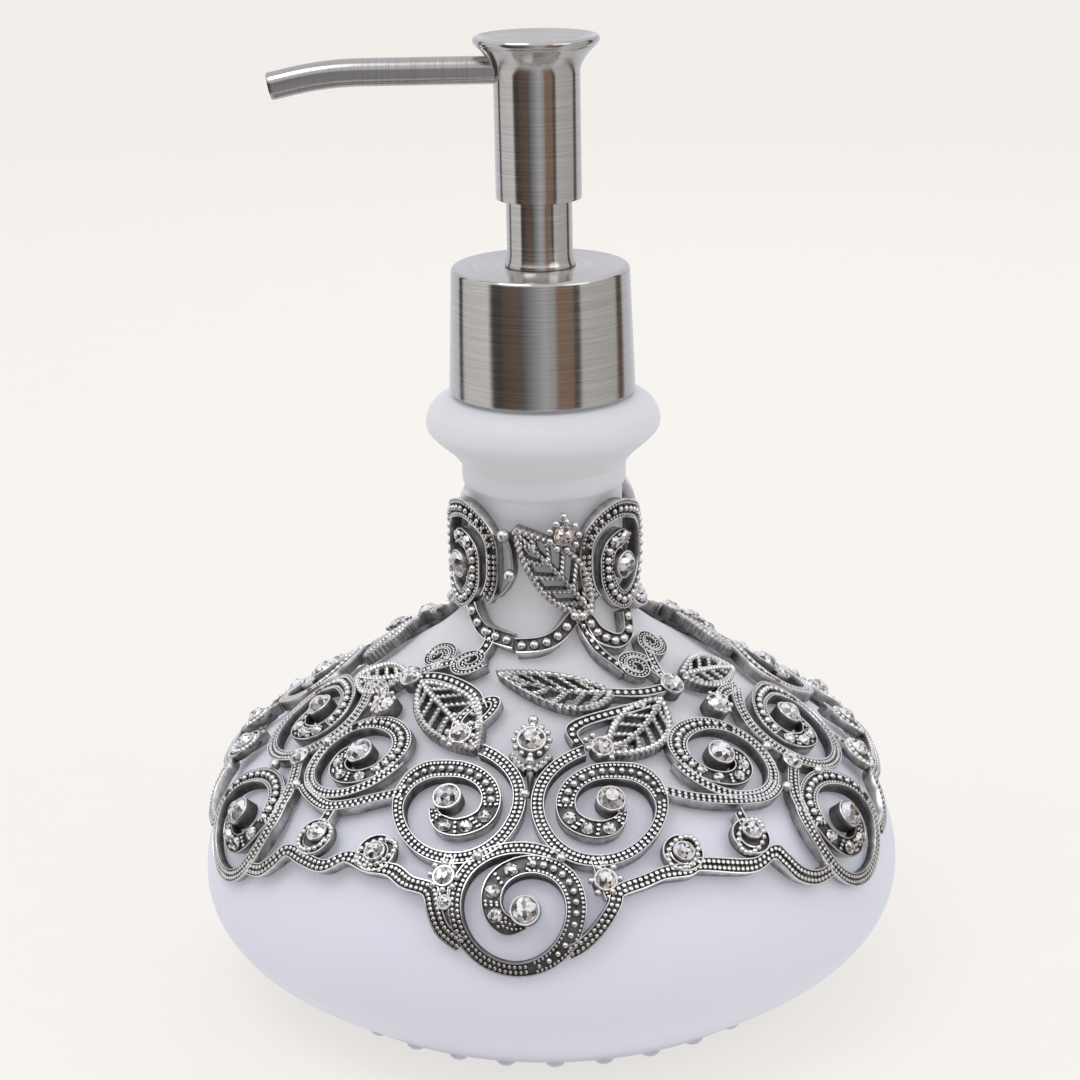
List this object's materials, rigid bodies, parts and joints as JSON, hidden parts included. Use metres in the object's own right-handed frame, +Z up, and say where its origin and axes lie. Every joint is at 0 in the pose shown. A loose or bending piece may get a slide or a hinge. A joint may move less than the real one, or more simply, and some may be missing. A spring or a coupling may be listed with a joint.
{
  "type": "soap pump dispenser",
  "caption": "Squat frosted-glass soap bottle in cast scroll-and-leaf filigree set with crystals, with a brushed-steel push pump, swivelling spout and screw collar.",
  "frame": {"origin": "centre of the bottle's base, on the plane that the glass nubs stand on", "axes": "+Z up along the bottle and pump axis, -Y to the front, -X the way the spout points at rest"},
  "size_m": [0.1384, 0.139, 0.184],
  "materials": {
    "frosted_glass": "acid-etched",
    "antique_pewter": "antiqued cast",
    "clear_crystal": "faceted",
    "brushed_steel": "lathe-brushed",
    "spring_steel": "bright",
    "white_plastic": "moulded",
    "seal_plastic": "moulded",
    "gasket_rubber": "matt"
  },
  "bodies": {
    "bottle": {"glass_bottle": "frosted_glass", "leaf_spray_1": "antique_pewter", "leaf_spray_2": "antique_pewter", "leaf_spray_3": "antique_pewter", "leaf_spray_4": "antique_pewter", "lower_swag_1": "antique_pewter", "lower_swag_2": "antique_pewter", "lower_swag_3": "antique_pewter", "lower_swag_4": "antique_pewter", "lower_swag_5": "antique_pewter", "lower_swag_6": "antique_pewter", "neck_crystal_1": "clear_crystal", "neck_crystal_2": "clear_crystal", "neck_crystal_3": "clear_crystal", "neck_crystal_4": "clear_crystal", "neck_filigree": "antique_pewter", "scroll_crystal_01": "clear_crystal", "scroll_crystal_02": "clear_crystal", "scroll_crystal_03": "clear_crystal", "scroll_crystal_04": "clear_crystal", "scroll_crystal_05": "clear_crystal", "scroll_crystal_06": "clear_crystal", "scroll_crystal_07": "clear_crystal", "scroll_crystal_08": "clear_crystal", "scroll_crystal_09": "clear_crystal", "scroll_crystal_10": "clear_crystal", "scroll_crystal_11": "clear_crystal", "scroll_crystal_12": "clear_crystal", "scroll_crystal_13": "clear_crystal", "scroll_crystal_14": "clear_crystal", "scroll_crystal_15": "clear_crystal", "scroll_crystal_16": "clear_crystal", "scroll_crystal_17": "clear_crystal", "scroll_crystal_18": "clear_crystal", "scroll_trio_1": "antique_pewter", "scroll_trio_2": "antique_pewter", "scroll_trio_3": "antique_pewter", "scroll_trio_4": "antique_pewter", "scroll_trio_5": "antique_pewter", "scroll_trio_6": "antique_pewter"},
    "engine": {"neck_gasket": "gasket_rubber", "pump_cylinder": "white_plastic", "spring_seat": "white_plastic", "guide_nut": "white_plastic", "main_spring": "spring_steel", "dip_tube": "white_plastic"},
    "ball": {"ball_valve": "spring_steel"},
    "closure": {"collar_shell": "brushed_steel", "closure_liner": "white_plastic", "guide_sleeve": "brushed_steel"},
    "plunger": {"piston_stem": "white_plastic", "piston_seal": "seal_plastic"},
    "head": {"head_shell": "brushed_steel", "actuator_core": "white_plastic", "spout_tube": "brushed_steel"}
  },
  "joints": [
    {"name": "unscrew_rise", "type": "slide", "parent": "bottle", "child": "engine", "axis": [0, 0, 1], "range_m": [0, 0.00528]},
    {"name": "collar_turn", "type": "hinge", "parent": "engine", "child": "closure", "pos_m": [0, 0, 0.129], "axis": [0, 0, 1], "range_deg": [0, 450]},
    {"name": "head_press", "type": "slide", "parent": "engine", "child": "plunger", "axis": [0, 0, -1], "range_m": [0, 0.0095], "stiffness_N_per_m": 1000, "springref_m": -0.006, "deforming": ["main_spring"]},
    {"name": "spout_swivel", "type": "hinge", "parent": "plunger", "child": "head", "pos_m": [0, 0, 0.168], "axis": [0, 0, 1], "continuous": true},
    {"name": "ball_lift", "type": "slide", "parent": "engine", "child": "ball", "axis": [0, 0, 1], "range_m": [0, 0.0007]}
  ],
  "couplings": [
    {"joint": "collar_turn", "follows": "unscrew_rise", "rad_per_m": 1485.4}
  ]
}
